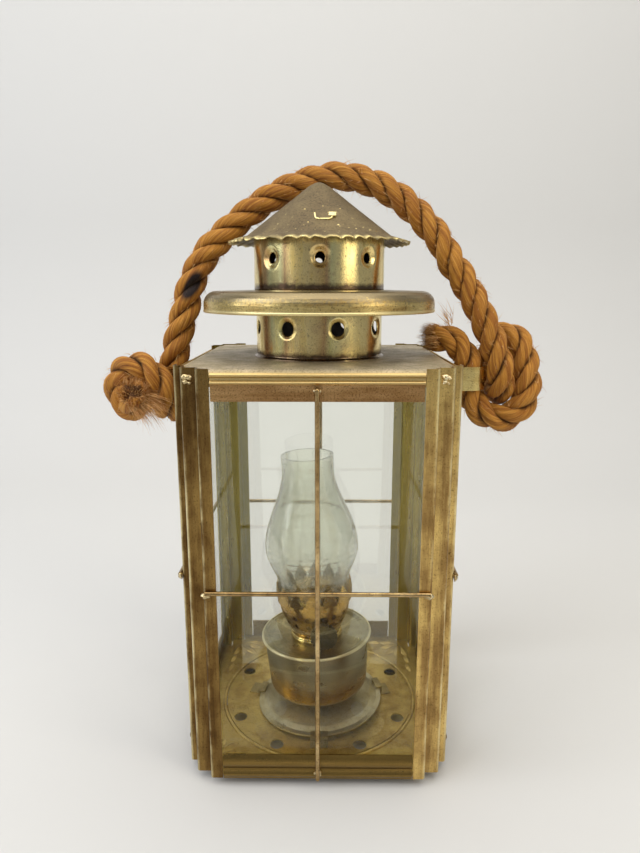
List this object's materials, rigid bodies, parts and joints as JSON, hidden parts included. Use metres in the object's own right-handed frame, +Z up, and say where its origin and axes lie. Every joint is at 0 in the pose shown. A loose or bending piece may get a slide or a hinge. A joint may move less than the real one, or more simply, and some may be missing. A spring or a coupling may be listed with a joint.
{
  "type": "cargo lantern",
  "caption": "Square brass oil lantern with four glazed sides, wire guards, a bayonet base that carries the lamp, a round vent stack and a rope handle.",
  "frame": {"origin": "centre of the base, on the surface the lantern stands on", "axes": "+Z up, -Y towards the front window, +X to the right seen from the front"},
  "size_m": [0.1965, 0.1196, 0.2636],
  "materials": {
    "case_brass": "aged, handled",
    "dull_brass": "tarnished grey-brown",
    "pale_brass": "tinned, satin",
    "dark_brass": "sooty",
    "solder": "dull tin and lead",
    "window_glass": "clear sheet",
    "chimney_glass": "clear blown",
    "cotton": "woven, sooty at the top",
    "manila_rope": "three-strand, oiled"
  },
  "bodies": {
    "lantern": {"post_front_left": "case_brass", "post_front_right": "case_brass", "post_rear_left": "case_brass", "post_rear_right": "case_brass", "top_rail_front": "case_brass", "top_rail_right": "case_brass", "top_rail_rear": "case_brass", "top_rail_left": "case_brass", "bottom_rail_front": "case_brass", "bottom_rail_right": "case_brass", "bottom_rail_rear": "case_brass", "bottom_rail_left": "case_brass", "pane_front": "window_glass", "pane_right": "window_glass", "pane_rear": "window_glass", "pane_left": "window_glass", "guard_front": "case_brass", "guard_right": "case_brass", "guard_rear": "case_brass", "guard_left": "case_brass", "solder_dabs": "solder", "floor_plate": "case_brass", "base_clips": "dull_brass", "roof_plate": "dull_brass", "lower_drum": "case_brass", "brim": "dull_brass", "upper_drum": "case_brass", "cone_cap": "dull_brass", "cap_tab": "pale_brass", "rope_lug_left": "case_brass", "rope_lug_right": "case_brass", "rope_end_left": "manila_rope", "rope_end_right": "manila_rope"},
    "base": {"base_pan": "case_brass", "foot_claws": "dull_brass", "lamp_foot": "pale_brass", "tank_body": "case_brass", "tank_top": "dull_brass", "filler_collar": "case_brass", "burner_bowl": "dull_brass", "chimney_crown": "case_brass", "flame_dome": "case_brass", "wick_tube": "case_brass"},
    "wick": {"wick": "cotton"},
    "knob": {"wick_spindle": "dark_brass", "wick_knob": "dark_brass"},
    "chimney": {"glass_chimney": "chimney_glass"},
    "handle": {"rope_handle": "manila_rope"}
  },
  "joints": [
    {"name": "base_twist", "type": "hinge", "parent": "lantern", "child": "base", "pos_m": [0, 0, 0], "axis": [0, 0, 1], "range_deg": [0, 30]},
    {"name": "wick_lift", "type": "slide", "parent": "base", "child": "wick", "axis": [-0.0471, 0, 0.9989], "range_m": [-0.004, 0.006]},
    {"name": "knob_turn", "type": "hinge", "parent": "base", "child": "knob", "pos_m": [0.00238, -0.0046, 0.05087], "axis": [0, 1, 0], "range_deg": [-80, 120]},
    {"name": "chimney_lift", "type": "slide", "parent": "base", "child": "chimney", "axis": [-0.0471, 0, 0.9989], "range_m": [0, 0.02]},
    {"name": "handle_swing", "type": "hinge", "parent": "lantern", "child": "handle", "pos_m": [0, 0.002, 0.196], "axis": [-1, 0, 0], "range_deg": [0, 78]}
  ],
  "couplings": [
    {"joint": "knob_turn", "follows": "wick_lift", "rad_per_m": 333}
  ]
}
